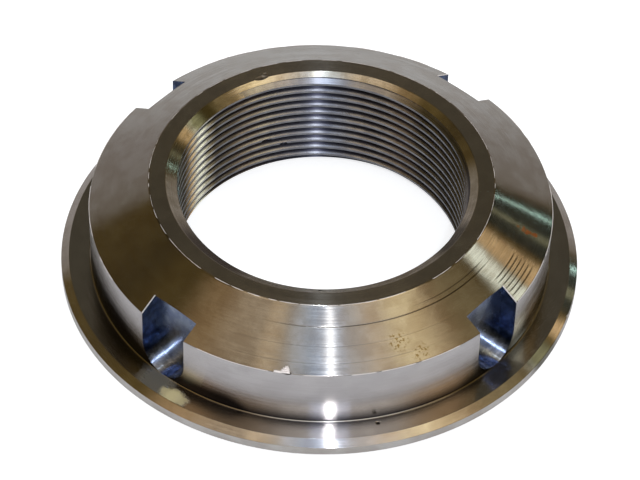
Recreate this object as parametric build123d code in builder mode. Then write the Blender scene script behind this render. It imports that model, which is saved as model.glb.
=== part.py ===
from build123d import *
import os
from math import cos, radians, sin, tan

# Flange nut, turned from one piece of steel, with four milled spanner slots.
# The frame is in millimetres. The origin is the centre of the flange's bearing
# face, +Z runs up the thread axis, and two of the slots look along X.

# Body, and the flange that stands out past it
overall_height = 23.2
body_diameter = 93.0
flange_overhang = 6.0
flange_thickness = 3.0

# Turned bevels, all cut with the tool set 30 degrees from the end face
bevel_angle = 30.0
flange_bevel_width = 1.6

# M60 x 2 internal thread, left as its plain minor bore. Its mouth is
# countersunk past the major diameter, and a narrow flat ring runs round it.
thread_major_diameter = 60.0
thread_pitch = 2.0
mouth_clearance = 1.2
crown_ring_width = 3.3

# Spanner slots: an end mill goes in from the side, so each slot has a flat
# floor, a full round bottom and straight sides that run out at the crown
slot_count = 4
slot_width = 11.0
slot_depth = 4.0
slot_lift = 0.1

# Small turned details
foot_radius = 0.5
bearing_edge_break = 0.3

# The minor diameter of an ISO metric nut thread is 1.0825 pitches under its
# major diameter
minor_diameter_drop = 1.0825
thread_minor_diameter = thread_major_diameter - minor_diameter_drop * thread_pitch

# Every bevel falls by this much for each millimetre of its width
bevel_slope = tan(radians(bevel_angle))

body_radius = body_diameter / 2
flange_radius = body_radius + flange_overhang
bore_radius = thread_minor_diameter / 2
mouth_radius = thread_major_diameter / 2 + mouth_clearance
crown_radius = mouth_radius + crown_ring_width

rim_height = flange_thickness - flange_bevel_width * bevel_slope
shoulder_height = overall_height - (body_radius - crown_radius) * bevel_slope
mouth_bottom = overall_height - (mouth_radius - bore_radius) * bevel_slope

slot_floor = body_radius - slot_depth
slot_radius = slot_width / 2
slot_bottom = flange_thickness + slot_lift
slot_centre = slot_bottom + slot_radius


def slot_plane(number):
    """The flat floor of one slot, facing outwards, with its height along +Z."""
    angle = radians(number * 360 / slot_count)
    outward = (cos(angle), sin(angle), 0)
    sideways = (-sin(angle), cos(angle), 0)
    return Plane(
        origin=(slot_floor * cos(angle), slot_floor * sin(angle), 0),
        x_dir=sideways,
        z_dir=outward,
    )


with BuildPart() as flange_nut:
    # Turned blank: the half section, revolved round the thread axis
    with BuildSketch(Plane.XZ):
        with BuildLine():
            Polyline(
                (bore_radius, 0),
                (flange_radius, 0),
                (flange_radius, rim_height),
                (flange_radius - flange_bevel_width, flange_thickness),
                (body_radius, flange_thickness),
                (body_radius, shoulder_height),
                (crown_radius, overall_height),
                (mouth_radius, overall_height),
                (bore_radius, mouth_bottom),
                close=True,
            )
        make_face()
    revolve(axis=Axis.Z)

    # The radius that the turning tool leaves where the body meets the flange
    circles = flange_nut.edges().filter_by(GeomType.CIRCLE)
    flange_top_edges = circles.filter_by_position(Axis.Z, flange_thickness, flange_thickness)
    foot_edge = flange_top_edges.sort_by(SortBy.RADIUS)[0]
    fillet(foot_edge, radius=foot_radius)

    # The bearing face has its two sharp edges broken
    bearing_edges = flange_nut.edges().filter_by(GeomType.CIRCLE).group_by(Axis.Z)[0]
    chamfer(bearing_edges, length=bearing_edge_break)

    # Spanner slots, milled outwards from their floors through the body's wall
    with BuildSketch(*[slot_plane(number) for number in range(slot_count)]):
        with BuildLine():
            Line((-slot_radius, slot_centre), (-slot_radius, overall_height))
            Line((-slot_radius, overall_height), (slot_radius, overall_height))
            Line((slot_radius, overall_height), (slot_radius, slot_centre))
            ThreePointArc(
                (slot_radius, slot_centre),
                (0, slot_bottom),
                (-slot_radius, slot_centre),
            )
        make_face()
    extrude(amount=flange_radius - slot_floor, mode=Mode.SUBTRACT)

flange_nut.part.label = "flange_nut"

os.makedirs("parts", exist_ok=True)
export_step(flange_nut.part, "parts/flange_nut.step")
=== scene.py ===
import math

import bpy
import numpy as np
from mathutils import Matrix, Vector
from typing import NamedTuple


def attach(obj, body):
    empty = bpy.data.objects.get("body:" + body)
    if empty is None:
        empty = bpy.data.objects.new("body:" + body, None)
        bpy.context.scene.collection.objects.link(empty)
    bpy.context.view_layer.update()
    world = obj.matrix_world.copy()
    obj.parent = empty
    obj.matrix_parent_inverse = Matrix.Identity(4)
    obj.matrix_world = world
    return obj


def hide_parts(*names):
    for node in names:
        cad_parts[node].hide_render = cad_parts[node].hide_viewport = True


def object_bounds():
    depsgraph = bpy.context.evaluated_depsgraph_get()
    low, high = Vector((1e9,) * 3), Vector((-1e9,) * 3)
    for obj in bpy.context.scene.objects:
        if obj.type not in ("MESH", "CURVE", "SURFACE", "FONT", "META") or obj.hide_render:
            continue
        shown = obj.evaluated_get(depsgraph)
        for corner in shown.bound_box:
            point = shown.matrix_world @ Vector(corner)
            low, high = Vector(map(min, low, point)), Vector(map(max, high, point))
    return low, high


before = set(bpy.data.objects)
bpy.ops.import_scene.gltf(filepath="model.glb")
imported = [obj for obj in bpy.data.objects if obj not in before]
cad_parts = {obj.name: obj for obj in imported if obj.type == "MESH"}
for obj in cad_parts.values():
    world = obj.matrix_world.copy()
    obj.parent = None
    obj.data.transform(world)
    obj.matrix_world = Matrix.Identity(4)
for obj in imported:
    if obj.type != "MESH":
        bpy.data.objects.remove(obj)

bl_info = {
    "name": "Slotted flange nut",
    "version": (1, 0, 0),
    "blender": (4, 5, 0),
    "location": "3D View > Sidebar > Flange nut",
    "description": "A turned steel flange nut with its thread, spanner slots and burrs, on a pale floor",
    "category": "Object",
}

NODE = "flange_nut"
ROOT = "root"
MM = 0.001

# Smooth shading turns a corner within this distance of its rounding
HOLD = 0.04 * MM

# The camera that the photo's circles fit: degrees round the axis from -Y, down and rolled, its distance
# from the middle of the bearing face in mm, how far that middle lies from the middle of the image
# in mm, and the focal length in pixels of an image this wide
CAMERA_TURN, CAMERA_TILT, CAMERA_ROLL = 40.27, 46.074, 1.911
CAMERA_DISTANCE = 683.2
CAMERA_SHIFT = (0.009, 3.787)
FOCAL_PIXELS, IMAGE_PIXELS = 3347.2, 640
SENSOR = 36

# The box of the CAD solid, straight after it is loaded
CAD_LOW, CAD_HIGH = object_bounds()
FLANGE_RADIUS = CAD_HIGH.x
HEIGHT = CAD_HIGH.z - CAD_LOW.z


def linear(hex_code):
    """A colour written as an sRGB hex code, turned to the linear values that a shader takes."""
    srgb = np.array([int(hex_code[i:i + 2], 16) for i in (0, 2, 4)]) / 255
    return tuple(np.where(srgb <= 0.04045, srgb / 12.92, ((srgb + 0.055) / 1.055) ** 2.4))


# Sizes and colours

class NutSizes(bpy.types.PropertyGroup):
    """Sizes of the nut, as turned and milled"""

    height: bpy.props.FloatProperty(
        name="Height", description="Bearing face to crown ring", default=HEIGHT, unit="LENGTH")
    flange_radius: bpy.props.FloatProperty(
        name="Flange radius", description="Outside radius of the flange", default=FLANGE_RADIUS, unit="LENGTH")
    flange_thickness: bpy.props.FloatProperty(
        name="Flange thickness", description="Bearing face to flange top", default=3.0 * MM, unit="LENGTH")
    flange_bevel: bpy.props.FloatProperty(
        name="Flange bevel", description="Width of the bevel on the rim", default=1.6 * MM, unit="LENGTH")
    body_radius: bpy.props.FloatProperty(
        name="Body radius", description="Outside radius of the body", default=46.5 * MM, unit="LENGTH")
    foot_radius: bpy.props.FloatProperty(
        name="Foot radius", description="Radius where the body meets the flange", default=0.5 * MM, unit="LENGTH")
    crown_radius: bpy.props.FloatProperty(
        name="Crown radius", description="Outside radius of the flat ring", default=34.5 * MM, unit="LENGTH")
    mouth_radius: bpy.props.FloatProperty(
        name="Mouth radius", description="Inside radius of the flat ring", default=31.2 * MM, unit="LENGTH")
    bevel_angle: bpy.props.FloatProperty(
        name="Bevel angle", description="Slope of every turned bevel", default=math.radians(30), subtype="ANGLE")
    thread_major: bpy.props.FloatProperty(
        name="Thread major radius", description="Radius of the groove roots", default=30.04 * MM, unit="LENGTH")
    thread_minor: bpy.props.FloatProperty(
        name="Thread minor radius", description="Radius of the thread crests", default=28.9175 * MM, unit="LENGTH")
    thread_pitch: bpy.props.FloatProperty(
        name="Thread pitch", description="Rise of the right-hand thread in a turn", default=2.0 * MM, unit="LENGTH")
    slot_width: bpy.props.FloatProperty(
        name="Slot width", description="Width of a spanner slot", default=11.0 * MM, unit="LENGTH")
    slot_floor: bpy.props.FloatProperty(
        name="Slot floor", description="Distance of a slot's flat floor from the axis", default=42.5 * MM,
        unit="LENGTH")
    slot_bottom: bpy.props.FloatProperty(
        name="Slot bottom", description="Height of a slot's lowest point", default=3.1 * MM, unit="LENGTH")


def colour(name, code, description):
    """A colour property, from its sRGB hex code."""
    return bpy.props.FloatVectorProperty(name=name, description=description, default=linear(code), subtype="COLOR",
                                         size=3, min=0, max=1)


class NutColours(bpy.types.PropertyGroup):
    """Colours of the steel: clean metal, and metal under a film of old oil"""

    cone: colour("Cone", "b2aea8", "Clean metal of the crown's cone")
    cone_film: colour("Cone film", "a69f96", "Oiled metal of the crown's cone")
    ring: colour("Ring", "b4aca0", "Clean metal of the crown's flat ring")
    ring_film: colour("Ring film", "aaa297", "Oiled metal of the crown's flat ring")
    mouth: colour("Mouth", "d2ccc0", "Clean metal of the countersink")
    mouth_film: colour("Mouth film", "bab2a2", "Oiled metal of the countersink")
    thread: colour("Thread", "aeaeb2", "Clean metal of the thread")
    thread_film: colour("Thread film", "9c9ca2", "Oiled metal of the thread")
    # Painted shade: the thread's grooves are darkened towards their roots
    thread_root_shade: colour("Thread root", "484854", "Oil and dust deep in the thread")
    wall: colour("Body wall", "c8c4c4", "Clean metal of the body's side")
    wall_film: colour("Body wall film", "c0bcbc", "Oiled metal of the body's side")
    # Painted shade: the body's side is darkened towards its foot, in the corner with the flange
    wall_foot_shade: colour("Foot", "24242c", "Dirt in the corner between body and flange")
    flange: colour("Flange top", "b8b2aa", "Clean metal of the flange's top")
    flange_film: colour("Flange top film", "aea8a0", "Oiled metal of the flange's top")
    rim: colour("Flange rim", "d0ccc8", "Clean metal of the flange's bevel and edge")
    rim_film: colour("Flange rim film", "c0bab4", "Oiled metal of the flange's bevel and edge")
    bearing: colour("Bearing face", "b0a8a2", "Clean metal of the underside")
    bearing_film: colour("Bearing face film", "aaa29a", "Oiled metal of the underside")
    slot_wall: colour("Slot wall", "4a5a7c", "Blue of a slot's sides")
    slot_wall_film: colour("Slot wall film", "26324e", "Dark blue of a slot's sides")
    slot_bottom: colour("Slot bottom", "d8dce2", "Clean metal of a slot's round bottom")
    slot_bottom_film: colour("Slot bottom film", "b0b4ba", "Oiled metal of a slot's round bottom")
    slot_floor: colour("Slot floor", "8e9ab0", "Light blue of a slot's flat floor")
    slot_floor_film: colour("Slot floor film", "7884a0", "Darker blue of a slot's flat floor")
    nick: colour("Nick", "8c8478", "Bruised metal in a nick")
    nick_film: colour("Nick film", "544c42", "Dirt in a nick")
    # The burrs' near-white colour is a painted glint on the real burrs
    burr: colour("Burr", "f0e8e4", "Torn metal of a burr")
    floor: colour("Studio floor", "d4d4d4", "The pale floor")


# Dents: (angle, radius, height, half length along the ring, half depth outwards, half height), degrees and mm
DENTS = (
    (-56.4, 46.45, 16.45, 0.85, 0.50, 0.45),
    (154.9, 31.30, 23.35, 1.70, 0.80, 0.40),
    (153.0, 32.10, 23.28, 0.60, 0.50, 0.22),
    (27.1, 52.10, 2.85, 0.70, 0.50, 0.35),
    (22.9, 52.50, 2.10, 0.50, 0.25, 0.40),
    (154.3, 29.05, 7.30, 1.20, 0.50, 0.45),
    (146.9, 29.05, 5.30, 0.90, 0.50, 0.40),
)
# Height in mm of the burr on each side of slots +X, +Y, -X and -Y
SLOT_BURRS = ((0, 0.40), (0, 0.12), (0, 0), (0.42, 0))
# Burrs round the nick in the body's edge: (angle, distance in from the edge, length in degrees, height), mm
NICK_BURRS = (
    (-58.7, 0.20, 2.0, 0.30),
    (-57.0, 0.25, 2.5, 0.50),
    (-56.9, 0.55, 2.1, 0.60),
    (-56.8, 0.85, 1.6, 0.60),
    (-56.7, 1.15, 0.9, 0.45),
)
# Deeper tool marks on the cone: (radius in mm, depth, middle of the arc, half its length, both in degrees)
CONE_LINES = (
    (38.2, 0.85, -26, 30),
    (37.3, 0.50, -5, 12),
    (41.57, 0.15, -40, 26),
    (44.45, 0.20, -44, 22),
    *((radius, 0.7, 13, 5) for radius in (41.2, 42.0, 42.8, 43.6, 44.4, 45.2)),
)
# Stains: ((x, y, z), size, colour), in mm. The cone has a trail of rust and a few specks
CONE_STAINS = (
    ((38.2, 20.6, 18.10), 0.9, "d88860"),
    ((37.2, 20.0, 18.75), 1.0, "d88860"),
    ((36.2, 19.5, 19.38), 0.9, "d09070"),
    ((35.0, 19.0, 20.10), 0.7, "c09070"),
)
# Clusters of specks of rust on the cone: (place in mm, its radius in mm)
CONE_SPECKS = (((37.2, -19.7, 18.85), 2.8), ((41.3, -17.6, 17.1), 2.3))
# On the flange, oil that has run out of the two slots in front, and beside one a painted reflection: pale cream
# patches, made matt so they stay bright
FLANGE_STAINS_AND_REFLECTION = (
    ((48.8, -0.4, 3.0), 5.5, "5c564c", 0.1),
    ((0.4, -48.6, 3.0), 5.2, "8a8474", 0.3),
    ((3.9, -49.5, 3.0), 2.0, "e0d4a8", 0.4),
    ((5.1, -49.4, 3.0), 2.3, "e4d8a8", 0.5),
    ((6.3, -49.2, 3.0), 2.3, "e4d8a8", 0.5),
    ((7.4, -49.0, 3.0), 2.0, "e0d4a8", 0.4),
)
# Where the painted shade at the body's foot reaches higher up its side: (angle in degrees, half arc, rise in mm)
FOOT_SHADE_RISE = ((222, 38, 4.8), (281, 10, 2.2), (10, 17, 2.2))
# A painted highlight on the thread, on an arc round the axis: (angle in degrees, half arc, colour)
THREAD_HIGHLIGHT = (189.5, 7.5, "fffaf0")
# Painted shade on the flange's bevel: a dark patch that dulls a bright reflection there, ((x, y, z), size, colour) in
# mm
RIM_SHADE = (((50.9, 9.5, 2.5), 7.0, "68624e"),)
# Painted shade on the countersink: darker patches, ((x, y, z), size, colour) in mm
MOUTH_SHADE = (
    ((-30.0, -2.8, 22.56), 5.5, "7e785c"),
    ((-2.5, -30.0, 22.56), 12.0, "7c746c"),
    ((29.6, 5.4, 22.56), 7.0, "7c7870"),
)
FLANGE_PITS = (((39.44, -27.33, 3.0), 0.5),)
MOUTH_PITS = (((19.57, -22.59, 22.44), 0.5),)
# Heights in mm between which the painted shade at the body's foot fades away
FOOT_SHADE = (2.7, 6.8)
# Painted shade deep in the thread: the radii between which it sets in, and the heights between which it stops, in mm
ROOT_SHADE = (29.1, 29.5, 21.3, 21.9)
# Height in mm of the thread's first crest on the side away from the camera
THREAD_START = 1.15


# Numpy surfaces

def ring_angles(count):
    """Evenly spaced angles round the axis, in radians."""
    return np.arange(count) * (2 * np.pi / count)


def grid_faces(rows, columns, first=0):
    """Four-sided faces of a grid that closes on itself across its columns; rows run upwards."""
    row, column = np.meshgrid(np.arange(rows - 1), np.arange(columns), indexing="ij")
    following = (column + 1) % columns
    quads = np.stack([row * columns + column, row * columns + following,
                      (row + 1) * columns + following, (row + 1) * columns + column], axis=-1)
    return quads.reshape(-1, 4) + first


def rounded_profile(corners):
    """Half section through the axis: each corner (radius, height, rounding) becomes a short arc.

    The arc is a quadratic curve from one side of the corner to the other, with the corner as its
    control point: p = (1-t)^2 a + 2t(1-t) corner + t^2 b. A straight run has a point close to each
    of its ends, so that smooth shading bends only in the rounding beside it.
    """
    points = np.array([(r, z) for r, z, _ in corners])
    rounding = np.array([size for _, _, size in corners])
    before = np.roll(points, 1, axis=0) - points
    after = np.roll(points, -1, axis=0) - points
    before /= np.linalg.norm(before, axis=1, keepdims=True)
    after /= np.linalg.norm(after, axis=1, keepdims=True)
    turn = 1 - np.einsum("ij,ij->i", before, -after)
    spread = rounding * np.sqrt(turn / 2)
    steps = np.linspace(0, 1, 4)[:, None, None]
    start, end = points + before * spread[:, None], points + after * spread[:, None]
    arcs = (1 - steps) ** 2 * start + 2 * steps * (1 - steps) * points + steps ** 2 * end
    profile = arcs.transpose(1, 0, 2).reshape(-1, 2)
    apart = np.linalg.norm(profile - np.roll(profile, 1, axis=0), axis=1) > 1e-7
    profile = profile[apart]
    ahead = np.roll(profile, -1, axis=0) - profile
    length = np.linalg.norm(ahead, axis=1, keepdims=True)
    hold = ahead / length * HOLD
    held = np.stack([profile, profile + hold, profile + ahead - hold], axis=1)
    wanted = np.stack([length[:, 0] > 0, *[length[:, 0] > 6 * HOLD] * 2], axis=1)
    return held[wanted]


def mesh_object(name, vertices, quads, triangles=np.empty((0, 3), int)):
    """A mesh object at the origin, from whole arrays of vertices and faces."""
    corners = np.concatenate([quads.ravel(), triangles.ravel()])
    sizes = np.concatenate([np.full(len(quads), 4), np.full(len(triangles), 3)])
    mesh = bpy.data.meshes.new(name)
    mesh.vertices.add(len(vertices))
    mesh.vertices.foreach_set("co", np.asarray(vertices, np.float32).ravel())
    mesh.loops.add(len(corners))
    mesh.loops.foreach_set("vertex_index", corners.astype(np.int32))
    mesh.polygons.add(len(sizes))
    mesh.polygons.foreach_set("loop_start", np.concatenate([[0], np.cumsum(sizes)[:-1]]).astype(np.int32))
    mesh.update(calc_edges=True)
    mesh.validate()
    obj = bpy.data.objects.new(name, mesh)
    bpy.context.scene.collection.objects.link(obj)
    return obj


def turned_blank(sizes, columns=720):
    """The nut before its thread and slots are cut: a closed half section revolved round the axis.

    A point is (r cos a, r sin a, z), with (r, z) from the section and a round the axis. The bore is
    left too narrow, so that the thread's core cuts all of it.
    """
    slope = math.tan(sizes.bevel_angle)
    waste = sizes.thread_minor - 1.0 * MM
    edge = 0.3 * MM
    rim_height = sizes.flange_thickness - sizes.flange_bevel * slope
    shoulder = sizes.height - (sizes.body_radius - sizes.crown_radius) * slope
    throat = sizes.height - (sizes.mouth_radius - waste) * slope
    foot = sizes.foot_radius
    corners = [
        (waste, (sizes.thread_minor + edge - waste), 0),
        (sizes.thread_minor + edge, 0, 0),
        (sizes.flange_radius - edge, 0, 0),
        (sizes.flange_radius, edge, 0.1 * MM),
        (sizes.flange_radius, rim_height, 0.15 * MM),
        (sizes.flange_radius - sizes.flange_bevel, sizes.flange_thickness, 0.15 * MM),
        (sizes.body_radius, sizes.flange_thickness, foot),
        (sizes.body_radius, shoulder, 0.25 * MM),
        (sizes.crown_radius, sizes.height, 0.9 * MM),
        (sizes.mouth_radius, sizes.height, 0.5 * MM),
        (waste, throat, 0),
    ]
    profile = rounded_profile(corners)
    angle = ring_angles(columns)
    rows = len(profile)
    r, a = np.meshgrid(profile[:, 0], angle, indexing="ij")
    z = np.repeat(profile[:, 1:], columns, axis=1)
    vertices = np.stack([r * np.cos(a), r * np.sin(a), z], axis=-1).reshape(-1, 3)
    quads = grid_faces(rows, columns)
    closing = np.stack([quads[:columns, 0] + (rows - 1) * columns, quads[:columns, 1] + (rows - 1) * columns,
                        quads[:columns, 1], quads[:columns, 0]], axis=-1)
    return mesh_object("blank", vertices, np.concatenate([quads, closing]))


def thread_core(sizes, phase, columns=720):
    """The thread's core, as a closed screw: what a tap would leave out of the bore.

    Its radius is a trapezium wave of height: flat crests a quarter of a pitch wide and flat roots an
    eighth wide, joined by 60 degree flanks, and the wave climbs one pitch in each right-hand turn.
    """
    pitch = sizes.thread_pitch
    wave = np.array([0.0, 0.25, 0.5625, 0.6875])
    depth = np.array([0.0, 0.0, 1.0, 1.0])
    turns = int(math.ceil(sizes.height / pitch)) + 5
    per_turn = len(wave)
    low, high = -1.0 * MM, sizes.height + 1.0 * MM
    step = (np.arange(turns)[:, None] + wave).ravel() - 3
    deep = np.tile(depth, turns)
    angle = np.arange(columns + 1) / columns
    z = (step[:, None] + angle[None, :]) * pitch + phase
    r = sizes.thread_minor + (sizes.thread_major - sizes.thread_minor) * deep[:, None] + 0 * z
    z[:-per_turn, -1], r[:-per_turn, -1] = z[per_turn:, 0], r[per_turn:, 0]
    r = np.where((z < low) | (z > high), sizes.thread_minor, r)
    z = np.clip(z, low, high)
    z[-per_turn:, -1] = high
    a = angle * 2 * np.pi
    a[-1] = 0.0
    vertices = np.stack([r * np.cos(a), r * np.sin(a), z], axis=-1)
    rows, width = vertices.shape[:2]
    row, column = np.meshgrid(np.arange(rows - 1), np.arange(columns), indexing="ij")
    quads = np.stack([row * width + column, row * width + column + 1,
                      (row + 1) * width + column + 1, (row + 1) * width + column], axis=-1).reshape(-1, 4)
    vertices = vertices.reshape(-1, 3).astype(np.float32)
    centre = np.array([[0, 0, low], [0, 0, high]], np.float32)
    vertices = np.concatenate([vertices, centre])
    welded, index = np.unique(vertices, axis=0, return_inverse=True)
    index = index.ravel()
    bottom, top = index[-2], index[-1]
    quads = index[quads]
    first, last = np.arange(columns), (rows - 1) * width + np.arange(columns)
    caps = np.concatenate([
        np.stack([index[first + 1], index[first], np.full(columns, bottom)], axis=-1),
        np.stack([index[last], index[last + 1], np.full(columns, top)], axis=-1),
    ])
    split = np.concatenate([quads[:, [0, 1, 2]], quads[:, [0, 2, 3]]])
    whole = np.concatenate([split, caps])
    distinct = (whole[:, 0] != whole[:, 1]) & (whole[:, 1] != whole[:, 2]) & (whole[:, 0] != whole[:, 2])
    return mesh_object("core", welded, np.empty((0, 4), int), whole[distinct])


def closed_shell(shell):
    """A tube of closed rings, shaped (rings, points, 3), with a middle point that closes each end."""
    rows, count = shell.shape[:2]
    middle = shell[[0, -1]].mean(axis=1)
    vertices = np.concatenate([shell.reshape(-1, 3), middle])
    here = np.arange(count)
    after = (here + 1) % count
    last = (rows - 1) * count
    inner = np.stack([after, here, np.full(count, rows * count)], axis=-1)
    outer = np.stack([here + last, after + last, np.full(count, rows * count + 1)], axis=-1)
    return vertices, grid_faces(rows, count), np.concatenate([inner, outer])


def slot_cutter(sizes, number, arc_points=32):
    """A spanner slot's cutter: a round-ended outline pushed outwards from the slot's floor.

    The outline is a half circle under two straight sides, (w cos t, w sin t) for its lower half,
    with the top above the crown. It is the same at every distance from the axis.
    """
    half = sizes.slot_width / 2
    out = np.array([sizes.slot_floor, sizes.flange_radius + 3 * MM])[:, None]
    centre = sizes.slot_bottom + sizes.slot_width / 2
    t = np.pi + np.linspace(0, np.pi, arc_points)
    tops = np.tile([centre + HOLD, sizes.height + 3 * MM], (len(out), 1))
    sides = np.full((len(out), 2), half)
    across = np.hstack([np.tile(half * np.cos(t), (len(out), 1)), sides, -sides])
    up = np.hstack([np.tile(centre + half * np.sin(t), (len(out), 1)), tops, tops[:, ::-1]])
    angle = number * np.pi / 2
    radial, sideways = np.array([np.cos(angle), np.sin(angle), 0]), np.array([-np.sin(angle), np.cos(angle), 0])
    shell = out[..., None] * radial + across[..., None] * sideways + up[..., None] * np.array([0, 0, 1])
    return mesh_object("slot", *closed_shell(shell))


def dent_cutter(angle, radius, height, along, out, up, steps=10):
    """A blunt dent's cutter: an ellipsoid with its half axes along the ring, outwards and up.

    p = (along sin v cos u, out sin v sin u, up cos v), set at a place on the nut. Sizes are in mm.
    """
    v = np.linspace(0.12, np.pi - 0.12, steps)[:, None]
    u = ring_angles(2 * steps)[None]
    a = math.radians(angle)
    radial, tangent = np.array([np.cos(a), np.sin(a), 0]), np.array([-np.sin(a), np.cos(a), 0])
    shell = ((np.sin(v) * np.cos(u) * along)[..., None] * tangent + (radius + np.sin(v) * np.sin(u) * out)[..., None]
             * radial + (height + np.cos(v) * up + 0 * u)[..., None] * np.array([0, 0, 1])) * MM
    return mesh_object("dent", *closed_shell(shell))


def burr(path, side, lift, height, width):
    """A thin torn ridge along an edge: three sides round a path, its tip lifted by a ragged height."""
    sink = 0.02 * MM
    left, right = path - side * width / 2 - lift * sink, path + side * width / 2 - lift * sink
    tip = path + lift * height[:, None] + side * (width * 0.3)
    return closed_shell(np.stack([left, tip, right], axis=1))


def ragged(count, random, smooth=2):
    """Uneven heights along a burr, from nought at both ends to about one between them."""
    noise = np.convolve(random.uniform(0.2, 1.3, count + 2 * smooth), np.ones(2 * smooth + 1) / (2 * smooth + 1), "valid")
    return noise * np.sqrt(np.sin(np.linspace(0, np.pi, count)))


def ring_burrs(radius, height, out, random, count, longest, tallest, width, gap=0.0):
    """Short burrs round a turned edge; out is the (radial, vertical) way that they stand.

    None crosses a slot, which takes gap degrees to each side of its middle.
    """
    pieces = []
    for start, length, tall in zip(random.uniform(0, 360, count), random.uniform(0.2, 1, count) * longest,
                                   random.uniform(0.3, 1, count) * tallest):
        stations = max(6, int(length * 2.5))
        middle = (start + length / 2 + 45) % 90 - 45
        if abs(middle) < gap + length / 2:
            continue
        a = np.radians(start + np.linspace(0, length, stations))[:, None]
        radial = np.hstack([np.cos(a), np.sin(a), 0 * a])
        path = radial * radius + [0, 0, height]
        lift = radial * out[0] + [0, 0, out[1]]
        side = radial * out[1] - [0, 0, out[0]]
        pieces.append(burr(path, side, lift, ragged(stations, random) * tall, width))
    return pieces


def slot_burrs(sizes, number, random, tall):
    """The burrs that the end mill leaves where a slot's two sides run out through the cone."""
    pieces = []
    angle = number * np.pi / 2
    radial, sideways = np.array([np.cos(angle), np.sin(angle), 0]), np.array([-np.sin(angle), np.cos(angle), 0])
    half = sizes.slot_width / 2
    out = np.linspace(sizes.slot_floor, math.sqrt(sizes.body_radius ** 2 - half ** 2), 24)[:, None]
    for way, height in zip((-1, 1), tall):
        if not height:
            continue
        z = cone_height(sizes, np.hypot(out, half))
        path = out * radial + way * half * sideways + z * np.array([0, 0, 1])
        lift = np.array([0, 0, 0.9]) - way * sideways * 0.44
        side = way * sideways * 0.9 + np.array([0, 0, 0.44])
        count = len(path)
        pieces.append(burr(path, np.tile(side, (count, 1)), np.tile(lift, (count, 1)),
                           (0.6 + 0.4 * ragged(count, random)) * height, 0.22 * MM))
    return pieces


def joined(name, pieces):
    """One mesh object of several closed shells."""
    starts = np.cumsum([0] + [len(vertices) for vertices, _, _ in pieces[:-1]])
    return mesh_object(name, np.concatenate([vertices for vertices, _, _ in pieces]),
                       np.concatenate([quads + start for (_, quads, _), start in zip(pieces, starts)]),
                       np.concatenate([triangles + start for (_, _, triangles), start in zip(pieces, starts)]))


def cut(blank, cutters, name):
    """The blank with the cutters' space taken out of it, as a new mesh; the tools are deleted."""
    for tool in cutters:
        step = blank.modifiers.new("cut", "BOOLEAN")
        step.operation = "DIFFERENCE"
        step.solver = "EXACT"
        step.object = tool
    view = bpy.context.evaluated_depsgraph_get()
    mesh = bpy.data.meshes.new_from_object(blank.evaluated_get(view))
    for tool in [*cutters, blank]:
        bpy.data.meshes.remove(tool.data)
    if not len(mesh.polygons):
        raise RuntimeError("the cut left nothing of " + name)
    mesh.name = name
    obj = bpy.data.objects.new(name, mesh)
    bpy.context.scene.collection.objects.link(obj)
    return obj


# Materials

def add_node(tree, kind, links=(), **settings):
    """Adds a node, sets its properties and its sockets' values, and links its inputs."""
    node = tree.nodes.new(kind)
    for key, value in settings.items():
        if hasattr(node, key):
            setattr(node, key, value)
        else:
            node.inputs[key.replace("_", " ")].default_value = value
    for socket, source in dict(links).items():
        tree.links.new(source, node.inputs[socket])
    return node


def math_node(tree, operation, first, second=0.0):
    """One sum, product or other step of the patterns' arithmetic."""
    node = add_node(tree, "ShaderNodeMath", operation=operation)
    for socket, value in zip(node.inputs, (first, second)):
        if isinstance(value, bpy.types.NodeSocket):
            tree.links.new(value, socket)
        else:
            socket.default_value = value
    return node.outputs[0]


class Finish(NamedTuple):
    """How one surface was cut and what that leaves on it. Lengths are in millimetres."""

    across: tuple           # direction (radius, height) that crosses the tool's rings
    light: tuple            # clean metal
    dark: tuple             # metal under a film of old oil
    roughness: float
    anisotropy: float
    feed: float = 0.30      # spacing of the tool's rings; the real 0.1 is too fine to show
    groove: float = 0.010   # depth of the rings
    coarse: float = 0.0     # depth of the rings where the tool chattered, four feeds apart
    wave: float = 0.010     # height of the long waves of the surface
    wave_size: float = 5.0
    oil: float = 0.5        # share of the surface under the film
    oil_size: float = 4.0


def ring_position(tree, across):
    """Place of a point on its surface: across the tool's rings, and round them as a unit vector, in mm."""
    place = add_node(tree, "ShaderNodeTexCoord").outputs["Object"]
    flat = add_node(tree, "ShaderNodeVectorMath", {0: place}, operation="MULTIPLY")
    flat.inputs[1].default_value = (1, 1, 0)
    radius = add_node(tree, "ShaderNodeVectorMath", {0: flat.outputs[0]}, operation="LENGTH").outputs["Value"]
    heading = add_node(tree, "ShaderNodeVectorMath", {0: flat.outputs[0]}, operation="NORMALIZE").outputs[0]
    round_it = add_node(tree, "ShaderNodeSeparateXYZ", {"Vector": heading}).outputs
    height = add_node(tree, "ShaderNodeSeparateXYZ", {"Vector": place}).outputs["Z"]
    run = math_node(tree, "ADD", math_node(tree, "MULTIPLY", radius, across[0] / MM),
                    math_node(tree, "MULTIPLY", height, across[1] / MM))
    return place, radius, height, run, round_it


def rings(tree, run, round_it, spacing, turns, detail=2.0):
    """Noise drawn out into rings: its spacing across them in mm, and how often it changes round the axis."""
    vector = add_node(tree, "ShaderNodeCombineXYZ", {
        "X": math_node(tree, "MULTIPLY", run, 1 / spacing),
        "Y": math_node(tree, "MULTIPLY", round_it["X"], turns),
        "Z": math_node(tree, "MULTIPLY", round_it["Y"], turns)})
    return add_node(tree, "ShaderNodeTexNoise", {"Vector": vector.outputs[0]}, Scale=1.0,
                    Detail=detail, Roughness=0.6).outputs["Fac"]


def between(tree, value, low, high, first=0.0, last=1.0):
    """A smooth step: first where value is under low, last where it is over high."""
    return add_node(tree, "ShaderNodeMapRange", {"Value": value}, interpolation_type="SMOOTHSTEP",
                    From_Min=low, From_Max=high, To_Min=first, To_Max=last).outputs["Result"]


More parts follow.
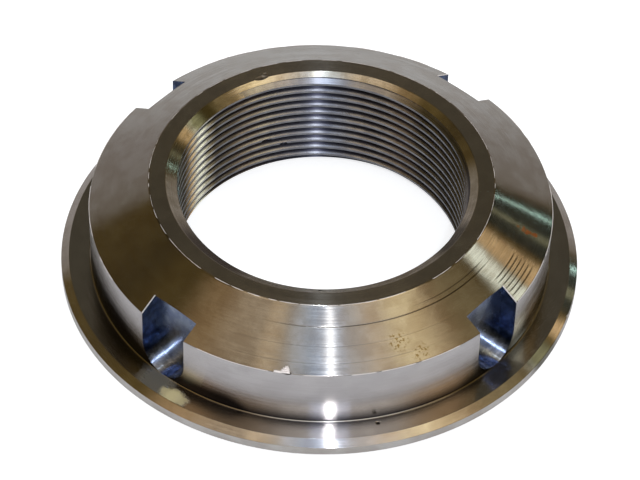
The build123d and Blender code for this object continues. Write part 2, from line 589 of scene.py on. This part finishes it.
def mix(tree, factor, first, second):
    """Colour between two, each a socket or linear values."""
    node = add_node(tree, "ShaderNodeMix", {"Factor": factor}, data_type="RGBA")
    for socket, shade in zip((node.inputs["A"], node.inputs["B"]), (first, second)):
        if isinstance(shade, bpy.types.NodeSocket):
            tree.links.new(shade, socket)
        else:
            socket.default_value = (*shade, 1)
    return node.outputs["Result"]


def arc(tree, round_it, angle, half, full):
    """A value that is full at one angle round the axis and nought past a half arc from it, in degrees."""
    facing = math_node(tree, "ADD", math_node(tree, "MULTIPLY", round_it["X"], math.cos(math.radians(angle))),
                       math_node(tree, "MULTIPLY", round_it["Y"], math.sin(math.radians(angle))))
    return between(tree, facing, math.cos(math.radians(half * 1.4)), math.cos(math.radians(half * 0.6)), 0.0, full)


def spot(tree, place, where, size):
    """One at a place (x, y, z) in mm and nought a size away from it, with a soft edge."""
    centre = [value * MM for value in where]
    away = add_node(tree, "ShaderNodeVectorMath", {0: place}, operation="DISTANCE")
    away.inputs[1].default_value = centre
    return between(tree, away.outputs["Value"], size * 0.4 * MM, size * MM, 1.0, 0.0)


def steel_shader(name, finish):
    """A metallic shader with the anisotropy of a turned surface, and its node tree."""
    material = bpy.data.materials.new(name)
    material.use_nodes = True
    shader = material.node_tree.nodes["Principled BSDF"]
    shader.inputs["Metallic"].default_value = 1.0
    shader.inputs["Anisotropic"].default_value = finish.anisotropy
    shader.inputs["Anisotropic Rotation"].default_value = 0.25
    return material, material.node_tree, shader


def turned_steel(name, finish, pits=(), lines=(), stains_and_painted_light=(), specks=(), painted_highlight=None, root=None,
                 corner=None, shade_rise=(), painted_shade_colour=None):
    """Free-cutting steel turned on a lathe, bright and lightly oiled.

    The tool leaves fine rings round the axis, so the metal is smooth along them and rough across
    them. That draws every lamp out into a streak from the axis outwards. Pits are small dark holes,
    lines are single deeper rings at a given place across, and painted_shade_colour is painted shade
    deep in a thread (root) or at the body's foot (corner). Some stains are painted shade or a painted
    reflection, and painted_highlight is a painted highlight on an arc round the axis.
    """
    material, tree, shader = steel_shader("turned_steel_" + name, finish)
    place, radius, height, run, round_it = ring_position(tree, finish.across)
    fine = rings(tree, run, round_it, finish.feed, 1.2)
    broad = rings(tree, run, round_it, finish.oil_size, 36 / finish.oil_size, 4.0)
    middle = 0.62 - finish.oil * 0.24
    film = between(tree, broad, middle - 0.14, middle + 0.14)
    colour = mix(tree, film, finish.dark, finish.light)
    relief = math_node(tree, "MULTIPLY", fine, finish.groove)
    if finish.coarse:
        chatter = rings(tree, run, round_it, finish.feed * 3, 4.0, 1.0)
        where = between(tree, rings(tree, run, round_it, 12.0, 3.0), 0.45, 0.62)
        relief = math_node(tree, "ADD", relief, math_node(
            tree, "MULTIPLY", math_node(tree, "MULTIPLY", chatter, where), finish.coarse))
    long_wave = rings(tree, run, round_it, finish.wave_size, 30 / finish.wave_size, 1.0)
    relief = math_node(tree, "ADD", relief, math_node(tree, "MULTIPLY", long_wave, finish.wave))
    for where, depth, angle, half in lines:
        off = math_node(tree, "ABSOLUTE", math_node(tree, "SUBTRACT", run, where))
        groove = math_node(tree, "MULTIPLY", between(tree, off, 0.03, 0.17, 1.0, 0.0),
                           arc(tree, round_it, angle, half, depth))
        colour = mix(tree, groove, colour, linear("3a3024"))
        relief = math_node(tree, "SUBTRACT", relief, math_node(tree, "MULTIPLY", groove, 0.03))
    dull = 0.0
    wander = add_node(tree, "ShaderNodeTexNoise", {"Vector": place}, Scale=1 / (1.6 * MM), Detail=2.0)
    ragged_place = add_node(tree, "ShaderNodeVectorMath", {0: wander.outputs["Color"], 2: place},
                            operation="MULTIPLY_ADD")
    ragged_place.inputs[1].default_value = [2.0 * MM] * 3
    # Some of these stains are painted shade, and the pale matt ones on the flange are a painted reflection
    for where, size, spot_colour, *matt in stains_and_painted_light:
        patch = spot(tree, ragged_place.outputs[0], [value + 1.0 for value in where], size)
        colour = mix(tree, patch, colour, linear(spot_colour))
        if matt:
            dull = math_node(tree, "MAXIMUM", dull, math_node(tree, "MULTIPLY", patch, sum(matt)))
    if specks:
        grit = add_node(tree, "ShaderNodeTexNoise", {"Vector": place}, Scale=1 / (0.5 * MM), Detail=1.0)
        grit = between(tree, grit.outputs["Fac"], 0.54, 0.64)
        for where, size in specks:
            colour = mix(tree, math_node(tree, "MULTIPLY", grit, spot(tree, place, where, size)), colour,
                         linear("86754e"))
    for where, size in pits:
        hole = spot(tree, place, where, size)
        colour = mix(tree, hole, colour, linear("241c14"))
        relief = math_node(tree, "SUBTRACT", relief, math_node(tree, "MULTIPLY", hole, size * 0.3))
    # Painted highlight: a brighter colour on an arc round the axis
    if painted_highlight:
        colour = mix(tree, arc(tree, round_it, painted_highlight[0], painted_highlight[1], 1.0), colour, linear(painted_highlight[2]))
    # Painted shade: darker deep in the thread's grooves, fading out near the top
    if root:
        deep = between(tree, radius, root[0] * MM, root[1] * MM)
        under = between(tree, height, root[2] * MM, root[3] * MM, 1.0, 0.0)
        deep = math_node(tree, "MULTIPLY", deep, under)
        colour = mix(tree, deep, colour, painted_shade_colour)
    # Painted shade: darker towards the body's foot, reaching higher on some arcs
    if corner:
        for angle, half, rise in shade_rise:
            height = math_node(tree, "SUBTRACT", height, arc(tree, round_it, angle, half, rise * MM))
        colour = mix(tree, between(tree, height, corner[0] * MM, corner[1] * MM), painted_shade_colour, colour)
    tree.links.new(colour, shader.inputs["Base Color"])
    rough = between(tree, fine, 0.3, 0.7, finish.roughness * 0.85, finish.roughness * 1.15)
    if dull:
        tree.links.new(math_node(tree, "SUBTRACT", 1.0, dull), shader.inputs["Metallic"])
        rough = math_node(tree, "ADD", rough, math_node(tree, "MULTIPLY", dull, 0.5))
    tree.links.new(rough, shader.inputs["Roughness"])
    bump = add_node(tree, "ShaderNodeBump", {"Height": relief}, Strength=1.0, Distance=MM)
    tree.links.new(bump.outputs["Normal"], shader.inputs["Normal"])
    return material


def milled_steel(name, finish, low_light=None, low_dark=None):
    """The same steel cut by an end mill, with a blue tint where the cutter rubbed.

    The mill's axis is radial, so its marks are lines at one distance from the nut's axis. Low in a
    slot, in its round bottom, the colour turns a lighter grey.
    """
    material, tree, shader = steel_shader("milled_steel_" + name, finish)
    place = add_node(tree, "ShaderNodeTexCoord").outputs["Object"]
    axes = add_node(tree, "ShaderNodeSeparateXYZ", {"Vector": place}).outputs
    depth = math_node(tree, "MAXIMUM", math_node(tree, "ABSOLUTE", axes["X"]), math_node(tree, "ABSOLUTE", axes["Y"]))
    vector = add_node(tree, "ShaderNodeCombineXYZ", {
        "X": math_node(tree, "MULTIPLY", depth, 1 / (finish.feed * MM)),
        "Y": math_node(tree, "MULTIPLY", math_node(tree, "ADD", axes["X"], axes["Y"]), 1 / (3 * MM)),
        "Z": math_node(tree, "MULTIPLY", axes["Z"], 1 / (3 * MM))})
    marks = add_node(tree, "ShaderNodeTexNoise", {"Vector": vector.outputs[0]}, Scale=1.0, Detail=2.0,
                     Roughness=0.6).outputs["Fac"]
    rubbed = add_node(tree, "ShaderNodeTexNoise", {"Vector": place}, Scale=1 / (finish.oil_size * MM), Detail=2.0,
                      Roughness=0.6).outputs["Fac"]
    film = between(tree, rubbed, 0.40, 0.60)
    colour = mix(tree, film, finish.dark, finish.light)
    # Lighter grey towards the bottom of a slot
    if low_light:
        colour = mix(tree, between(tree, axes["Z"], 4.6 * MM, 6.0 * MM), mix(tree, film, low_dark, low_light), colour)
    tree.links.new(colour, shader.inputs["Base Color"])
    rough = between(tree, marks, 0.3, 0.7, finish.roughness * 0.85, finish.roughness * 1.15)
    tree.links.new(rough, shader.inputs["Roughness"])
    relief = math_node(tree, "MULTIPLY", marks, finish.groove)
    bump = add_node(tree, "ShaderNodeBump", {"Height": relief}, Strength=1.0, Distance=MM)
    tree.links.new(bump.outputs["Normal"], shader.inputs["Normal"])
    return material


def cone_height(sizes, radius):
    """Height of the crown cone's surface at a radius."""
    return sizes.height - (radius - sizes.crown_radius) * math.tan(sizes.bevel_angle)


SURFACES = ("crown_cone", "crown_ring", "mouth", "thread", "body_wall", "flange_top", "flange_rim", "slot_wall",
            "slot_floor", "bearing", "nick")


def face_surfaces(mesh, sizes):
    """Which turned or milled surface each face lies on, from the place and slope of the face."""
    count = len(mesh.polygons)
    centre, normal = np.empty(count * 3, np.float32), np.empty(count * 3, np.float32)
    mesh.polygons.foreach_get("center", centre)
    mesh.polygons.foreach_get("normal", normal)
    centre, normal = centre.reshape(-1, 3), normal.reshape(-1, 3)
    r, z = np.hypot(centre[:, 0], centre[:, 1]), centre[:, 2]
    out = (normal[:, :2] * centre[:, :2]).sum(axis=1) / np.maximum(r, 1e-6)
    slope = math.tan(sizes.bevel_angle)
    hair = 0.05 * MM
    cone = cone_height(sizes, r)
    cup = sizes.height - (sizes.mouth_radius - r) * slope
    inside = r < sizes.body_radius - hair * 4
    plan = np.sort(abs(centre[:, :2]), axis=1)
    slot = (plan[:, 0] < sizes.slot_width / 2 + hair) & (plan[:, 1] > sizes.slot_floor - hair) & (
        z > sizes.slot_bottom - hair) & (r < sizes.body_radius + hair)
    found = np.full(count, SURFACES.index("nick"))
    found[slot] = SURFACES.index("slot_wall")
    found[slot & (out > 0.95)] = SURFACES.index("slot_floor")
    found[(z < 0.5 * MM) & (normal[:, 2] < -0.3)] = SURFACES.index("bearing")
    found[(r > sizes.flange_radius - sizes.flange_bevel - hair) & (normal[:, 2] > -0.3)] = SURFACES.index("flange_rim")
    found[(r > sizes.body_radius) & (r < sizes.flange_radius - sizes.flange_bevel - hair) & (out > -0.05)
          & (normal[:, 2] > 0.05) & (z < sizes.flange_thickness + sizes.foot_radius)] = SURFACES.index("flange_top")
    found[(abs(r - sizes.body_radius) < hair) & (out > 0.9)] = SURFACES.index("body_wall")
    found[(abs(z - cone) < hair) & (normal[:, 2] > 0.6) & (r > sizes.crown_radius)] = SURFACES.index("crown_cone")
    found[(z > sizes.height - hair) & (normal[:, 2] > 0.9)] = SURFACES.index("crown_ring")
    found[(abs(z - cup) < hair) & (normal[:, 2] > 0.6) & (r < sizes.mouth_radius)] = SURFACES.index("mouth")
    found[(r < sizes.thread_major + hair) & (found == SURFACES.index("nick"))] = SURFACES.index("thread")
    return found


# Light

def toward(azimuth, elevation):
    """Unit direction from the nut; azimuth 0 is towards the camera and 90 to its right, in degrees."""
    a, e = math.radians(azimuth) + math.radians(CAMERA_TURN), math.radians(elevation)
    return Vector((math.sin(a) * math.cos(e), -math.cos(a) * math.cos(e), math.sin(e)))


# What a bright turned nut mirrors: (what, azimuth, elevation, half width, half height, edge, colour, strength),
# and for some how far the top leans to the right, in degrees
ROOM = (
    ("brown wall left", -62, 49, 11, 12, 0.5, "c8a880", 1.45),
    ("dark wall left", -135, 47, 20, 8, 0.4, "342c1e", 1.0),
    ("wall front left", -32, 48, 16, 10, 0.5, "b8a48c", 1.1),
    ("warm wall front right", 62, 46, 14, 9, 0.5, "d0b088", 1.6),
    ("ceiling in front left", -42, 65, 14, 7, 0.4, "d0bca0", 0.42),
    ("ceiling in front", 10, 65, 18, 9, 0.4, "d0c4b4", 0.62),
    ("ceiling panel", 90, 86, 14, 25, 0.12, "ffe8c8", 2.1),
    ("ceiling overhead", 180, 87, 13, 12, 0.4, "d8d4cc", 0.85),
    ("ceiling lamp", 0, 78, 7, 5, 0.3, "d4e6ff", 2.6),
    ("strip left of the lamp", -38, 69.5, 2.2, 6, 0.4, "ffe4b8", 1.0),
    ("strip right of the lamp", 52, 67, 3, 6, 0.4, "ffe4b8", 1.3),
    ("haze round the lamp", 14, 47, 26, 11, 0.5, "d0d0d0", 2.6),
    ("haze right of the lamp", 24, 66, 8, 14, 0.4, "d4d4d8", 0.95),
    ("blue glow over the lamp", 5, 66, 6, 15, 0.4, "b4c8f0", 0.42),
    ("warm lamp right", 62, 64, 10, 7, 0.4, "ffe0b0", 0.55),
    ("lamp over the wall", 83, 67, 9, 5, 0.4, "fff0c0", 2.0),
    ("wall right", 96, 50, 8, 9, 0.5, "a49470", 1.0),
    ("window right", 113.6, 42.0, 4, 7.5, 0.2, "f8fff0", 2.4, 40),
    ("window side", 118, 34, 4, 8, 0.2, "e8c898", 1.7, 37),
    ("doorway", 130.3, 24.2, 8.5, 16, 0.06, "343a34", 1.0, 29),
    ("light beyond the door", 128.6, 25.8, 1.2, 9, 0.5, "a8a888", 1.0, 30),
    ("door gap", 134.3, 21.1, 0.22, 12, 0.2, "c4f0e8", 5.0, 24),
    ("wall behind", 180, 48, 15, 22, 0.5, "5a564c", 1.0),
)
# The light wall low behind the nut: where it ends to each side of straight behind, and its height
BACKDROP_HALF_WIDTH = 47
BACKDROP_TOP = 30
DARK_ROOM = "645430"
BACKDROP_EDGE, BACKDROP_MIDDLE = "a09a94", "a29b98"


def studio_world():
    """Plain white light for whatever is matt, and a dim room with lamps for what the bright metal mirrors."""
    world = bpy.data.worlds.new("studio")
    world.use_nodes = True
    world.cycles.sampling_method = "NONE"
    tree = world.node_tree
    tree.nodes.clear()
    direction = add_node(tree, "ShaderNodeTexCoord").outputs["Generated"]
    flat = add_node(tree, "ShaderNodeVectorMath", {0: direction}, operation="MULTIPLY")
    flat.inputs[1].default_value = (1, 1, 0)
    level = add_node(tree, "ShaderNodeVectorMath", {0: flat.outputs[0]}, operation="NORMALIZE")
    behind = add_node(tree, "ShaderNodeVectorMath", {0: level.outputs[0]}, operation="DOT_PRODUCT")
    behind.inputs[1].default_value = toward(185, 0)
    height = add_node(tree, "ShaderNodeSeparateXYZ", {"Vector": direction}).outputs["Z"]
    side = math.cos(math.radians(BACKDROP_HALF_WIDTH))
    within = between(tree, behind.outputs["Value"], side - 0.02, side + 0.02)
    under = between(tree, height, math.sin(math.radians(BACKDROP_TOP - 8)),
                    math.sin(math.radians(BACKDROP_TOP + 4)), 1.0, 0.0)
    sheet = mix(tree, between(tree, behind.outputs["Value"], side, 0.95), linear(BACKDROP_EDGE),
                linear(BACKDROP_MIDDLE))
    colour = mix(tree, math_node(tree, "MULTIPLY", within, under), linear(DARK_ROOM), sheet)
    for name, azimuth, elevation, wide, tall, edge, code, strength, *lean in ROOM:
        centre = toward(azimuth, elevation)
        level_side = centre.cross(Vector((0, 0, 1))).normalized() * -1
        tilt = math.radians(sum(lean))
        side = level_side * math.cos(tilt) - centre.cross(level_side) * math.sin(tilt)
        up = centre.cross(side)
        place = add_node(tree, "ShaderNodeMapping", {"Vector": direction}, vector_type="TEXTURE")
        place.label = name
        place.inputs["Location"].default_value = centre
        place.inputs["Rotation"].default_value = Matrix((side, up, centre)).transposed().to_euler()
        place.inputs["Scale"].default_value = (math.sin(math.radians(wide)), math.sin(math.radians(tall)), 0.5)
        away = add_node(tree, "ShaderNodeVectorMath", {0: place.outputs["Vector"]}, operation="LENGTH")
        mask = between(tree, away.outputs["Value"], 1 - edge, 1 + edge, 1.0, 0.0)
        patch = add_node(tree, "ShaderNodeMix", {"Factor": mask, "A": colour}, data_type="RGBA")
        patch.inputs["B"].default_value = (*(np.array(linear(code)) * strength), 1)
        colour = patch.outputs["Result"]
    plain = add_node(tree, "ShaderNodeBackground", Color=(1, 1, 1, 1), Strength=1.0)
    mirrored = add_node(tree, "ShaderNodeBackground", {"Color": colour}, Strength=1.0)
    path = add_node(tree, "ShaderNodeLightPath")
    choice = add_node(tree, "ShaderNodeMixShader", {0: path.outputs["Is Glossy Ray"], 1: plain.outputs[0],
                                                    2: mirrored.outputs[0]})
    add_node(tree, "ShaderNodeOutputWorld", {"Surface": choice.outputs[0]})
    return world


# The studio's lamps: (name, azimuth, elevation, distance and radius in m, radiance, colour). Only the first two
# are one lamp: its bright core and the glow round it
LAMPS = (
    ("lamp_core", 7.8, 50, 0.75, 0.015, 400.0, "f0f6ff"),
    ("lamp_glow", 7.8, 50, 0.76, 0.09, 4.0, "b8ccf4"),
    ("lamp_over", 175.5, 84, 0.75, 0.015, 120.0, "d8eaff"),
)


def lamp(name, azimuth, elevation, distance, radius, radiance, code):
    """A round soft lamp that looks at the nut; its power gives the radiance that a mirror would show."""
    light = bpy.data.lights.new(name, "AREA")
    light.shape = "DISK"
    light.size = 2 * radius
    light.color = linear(code)
    light.energy = radiance * math.pi * math.pi * radius ** 2
    light.diffuse_factor = 0.1
    obj = bpy.data.objects.new(name, light)
    bpy.context.scene.collection.objects.link(obj)
    away = toward(azimuth, elevation)
    obj.location = away * distance
    obj.rotation_euler = away.to_track_quat("Z", "Y").to_euler()
    obj.visible_camera = False
    return obj


def torn_steel(shade):
    """Burrs of the same steel given a near-white, mostly matt colour, which is a painted glint: they look bright under
    any light and mirror little.
    """
    material = bpy.data.materials.new("torn_steel_burrs")
    material.use_nodes = True
    shader = material.node_tree.nodes["Principled BSDF"]
    shader.inputs["Base Color"].default_value = (*shade, 1)
    shader.inputs["Metallic"].default_value = 0.2
    shader.inputs["Roughness"].default_value = 0.45
    return material


# Operators

def finishes(sizes, colours):
    """How each surface of the nut was cut, and its colours."""
    c = colours
    slant = (math.cos(sizes.bevel_angle), math.sin(sizes.bevel_angle))
    return {
        "crown_cone": Finish((slant[0], -slant[1]), c.cone, c.cone_film, 0.18, 1.0, groove=0.006, coarse=0.016,
                             wave=0.008),
        "crown_ring": Finish((1, 0), c.ring, c.ring_film, 0.17, 1.0, 0.25, 0.006, wave=0.010, wave_size=4.0),
        "mouth": Finish(slant, c.mouth, c.mouth_film, 0.24, 1.0, 0.25, 0.006, 0.010, wave=0.006, wave_size=3.0),
        "thread": Finish((0, 1), c.thread, c.thread_film, 0.26, 1.0, 0.15, 0.002, wave=0.0),
        "body_wall": Finish((0, 1), c.wall, c.wall_film, 0.16, 1.0, groove=0.004),
        "flange_top": Finish((1, 0), c.flange, c.flange_film, 0.15, 0.9, groove=0.003, wave=0.011, wave_size=4.0),
        "flange_rim": Finish((slant[1], -slant[0]), c.rim, c.rim_film, 0.17, 1.0, groove=0.006, wave=0.020,
                             wave_size=3.0),
        "slot_wall": Finish((0, 1), c.slot_wall, c.slot_wall_film, 0.22, 0.9, groove=0.004, oil_size=1.2),
        "slot_floor": Finish((0, 1), c.slot_floor, c.slot_floor_film, 0.24, 0.3, groove=0.003, oil_size=2.5),
        "bearing": Finish((1, 0), c.bearing, c.bearing_film, 0.22, 1.0),
        "nick": Finish((0, 1), c.nick, c.nick_film, 0.40, 0.2, wave=0.03, wave_size=1.0),
    }


def steel(name, sizes, colours):
    """The material of one surface, with the marks that the nut has there."""
    finish = finishes(sizes, colours)[name]
    if name == "slot_wall":
        return milled_steel(name, finish, colours.slot_bottom, colours.slot_bottom_film)
    if name == "slot_floor":
        return milled_steel(name, finish)
    marks = {
        "crown_cone": dict(stains_and_painted_light=CONE_STAINS, specks=CONE_SPECKS, lines=[
            ((radius * MM * finish.across[0] + cone_height(sizes, radius * MM) * finish.across[1]) / MM, *arc)
            for radius, *arc in CONE_LINES]),
        "flange_top": dict(pits=FLANGE_PITS, stains_and_painted_light=FLANGE_STAINS_AND_REFLECTION),
        "flange_rim": dict(stains_and_painted_light=RIM_SHADE),
        "mouth": dict(pits=MOUTH_PITS, stains_and_painted_light=MOUTH_SHADE),
        "body_wall": dict(corner=FOOT_SHADE, shade_rise=FOOT_SHADE_RISE, painted_shade_colour=colours.wall_foot_shade),
        "thread": dict(painted_highlight=THREAD_HIGHLIGHT, root=ROOT_SHADE, painted_shade_colour=colours.thread_root_shade),
    }
    return turned_steel(name, finish, **marks.get(name, {}))


class NUT_OT_body(bpy.types.Operator):
    """Makes the nut: turned blank, right-hand thread, four spanner slots and the dents of use"""

    bl_idname = "nut.body"
    bl_label = "Make the nut"

    def execute(self, context):
        sizes, colours = context.scene.nut_sizes, context.scene.nut_colours
        away_from_camera = (CAMERA_TURN + 90) / 360
        phase = THREAD_START * MM - sizes.thread_pitch * away_from_camera
        blank = turned_blank(sizes)
        cutters = [thread_core(sizes, phase)] + [slot_cutter(sizes, number) for number in range(4)]
        cutters += [dent_cutter(*dent) for dent in DENTS]
        nut = cut(blank, cutters, "nut")
        nut.data.materials.clear()
        for name in SURFACES:
            nut.data.materials.append(steel(name, sizes, colours))
        nut.data.polygons.foreach_set("material_index", face_surfaces(nut.data, sizes).astype(np.int32))
        nut.data.polygons.foreach_set("use_smooth", np.ones(len(nut.data.polygons), bool))
        nut.data.set_sharp_from_angle(angle=math.radians(24))
        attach(nut, ROOT)
        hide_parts(NODE)
        return {"FINISHED"}


class NUT_OT_burrs(bpy.types.Operator):
    """Makes the burrs along the slots' sides, round the turned edges and at the nick in the body's edge"""

    bl_idname = "nut.burrs"
    bl_label = "Make the burrs"

    def execute(self, context):
        sizes, colours = context.scene.nut_sizes, context.scene.nut_colours
        random = np.random.default_rng(60)
        shoulder = cone_height(sizes, sizes.body_radius)
        pieces = ring_burrs(sizes.body_radius, shoulder, (0.5, 0.87), random, 90, 7, 0.07 * MM, 0.12 * MM, 7.2)
        pieces += ring_burrs(sizes.crown_radius, sizes.height - 0.03 * MM, (1, 0), random, 120, 6, 0.10 * MM, 0.10 * MM)
        for number, tall in enumerate(SLOT_BURRS):
            pieces += slot_burrs(sizes, number, random, np.array(tall) * MM)
        for angle, inset, length, tall in NICK_BURRS:
            a = np.radians(angle + np.linspace(-0.5, 0.5, 12) * length)[:, None]
            radial = np.hstack([np.cos(a), np.sin(a), 0 * a])
            radius = sizes.body_radius - inset * MM
            path = radial * radius + [0, 0, cone_height(sizes, radius)]
            pieces.append(burr(path, radial * 0.87 - [0, 0, 0.5], radial * 0.5 + [0, 0, 0.87],
                               ragged(12, random) * tall * MM, 0.55 * MM))
        burrs = joined("burrs", pieces)
        burrs.data.materials.append(torn_steel(colours.burr))
        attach(burrs, ROOT)
        return {"FINISHED"}


def pale_floor(shade):
    """Matt pale card; what the camera sees of it is lifted to white, and its shadows stay."""
    material = bpy.data.materials.new("pale_floor")
    material.use_nodes = True
    tree = material.node_tree
    shader = tree.nodes["Principled BSDF"]
    shader.inputs["Base Color"].default_value = (*shade, 1)
    shader.inputs["Roughness"].default_value = 1.0
    shader.inputs["Specular IOR Level"].default_value = 0.0
    shader.inputs["Emission Color"].default_value = (1, 1, 1, 1)
    seen = add_node(tree, "ShaderNodeLightPath").outputs["Is Camera Ray"]
    tree.links.new(math_node(tree, "MULTIPLY", seen, 0.62), shader.inputs["Emission Strength"])
    return material


def photo_camera():
    """The camera of the photo, from its fitted bearing, tilt, roll, distance and focal length."""
    camera = bpy.data.objects.new("camera", bpy.data.cameras.new("camera"))
    turn, tilt, roll = (math.radians(angle) for angle in (CAMERA_TURN, CAMERA_TILT, CAMERA_ROLL))
    side = Vector((math.cos(turn), math.sin(turn), 0))
    ahead = Vector((-math.sin(turn) * math.cos(tilt), math.cos(turn) * math.cos(tilt), -math.sin(tilt)))
    up = side.cross(ahead)
    place = (CAMERA_SHIFT[0] * side + CAMERA_SHIFT[1] * up - CAMERA_DISTANCE * ahead) * MM
    right = math.cos(roll) * side + math.sin(roll) * up
    above = -math.sin(roll) * side + math.cos(roll) * up
    camera.matrix_world = Matrix.Translation(place) @ Matrix((right, above, -ahead)).transposed().to_4x4()
    camera.data.sensor_width = SENSOR
    camera.data.lens = SENSOR * FOCAL_PIXELS / IMAGE_PIXELS
    camera.data.clip_start, camera.data.clip_end = 0.05, 20
    return camera


class NUT_OT_studio(bpy.types.Operator):
    """Makes the pale floor, the soft studio light and the camera"""

    bl_idname = "nut.studio"
    bl_label = "Make the studio"

    def execute(self, context):
        scene = context.scene
        floor = mesh_object("floor", np.array([(-3.0, -3, 0), (3, -3, 0), (3, 3, 0), (-3, 3, 0)]),
                            np.array([[0, 1, 2, 3]]))
        floor.data.materials.append(pale_floor(scene.nut_colours.floor))
        scene.world = studio_world()
        for row in LAMPS:
            lamp(*row)
        scene.view_settings.view_transform = "Standard"
        scene.camera = photo_camera()
        scene.collection.objects.link(scene.camera)
        return {"FINISHED"}


class NUT_PT_sidebar(bpy.types.Panel):
    """Sizes, colours and the three steps, in the 3D view's sidebar"""

    bl_idname = "NUT_PT_sidebar"
    bl_label = "Flange nut"
    bl_space_type = "VIEW_3D"
    bl_region_type = "UI"
    bl_category = "Flange nut"

    def draw(self, context):
        for operator in (NUT_OT_body, NUT_OT_burrs, NUT_OT_studio):
            self.layout.operator(operator.bl_idname)
        for group in (context.scene.nut_sizes, context.scene.nut_colours):
            box = self.layout.box()
            for name in group.__annotations__:
                box.prop(group, name)


CLASSES = (NutSizes, NutColours, NUT_OT_body, NUT_OT_burrs, NUT_OT_studio, NUT_PT_sidebar)


def register():
    for item in CLASSES:
        bpy.utils.register_class(item)
    bpy.types.Scene.nut_sizes = bpy.props.PointerProperty(type=NutSizes)
    bpy.types.Scene.nut_colours = bpy.props.PointerProperty(type=NutColours)


def unregister():
    del bpy.types.Scene.nut_colours
    del bpy.types.Scene.nut_sizes
    for item in reversed(CLASSES):
        bpy.utils.unregister_class(item)


def main():
    register()
    bpy.ops.nut.body()
    bpy.ops.nut.burrs()
    bpy.ops.nut.studio()


if __name__ == "__main__":
    main()
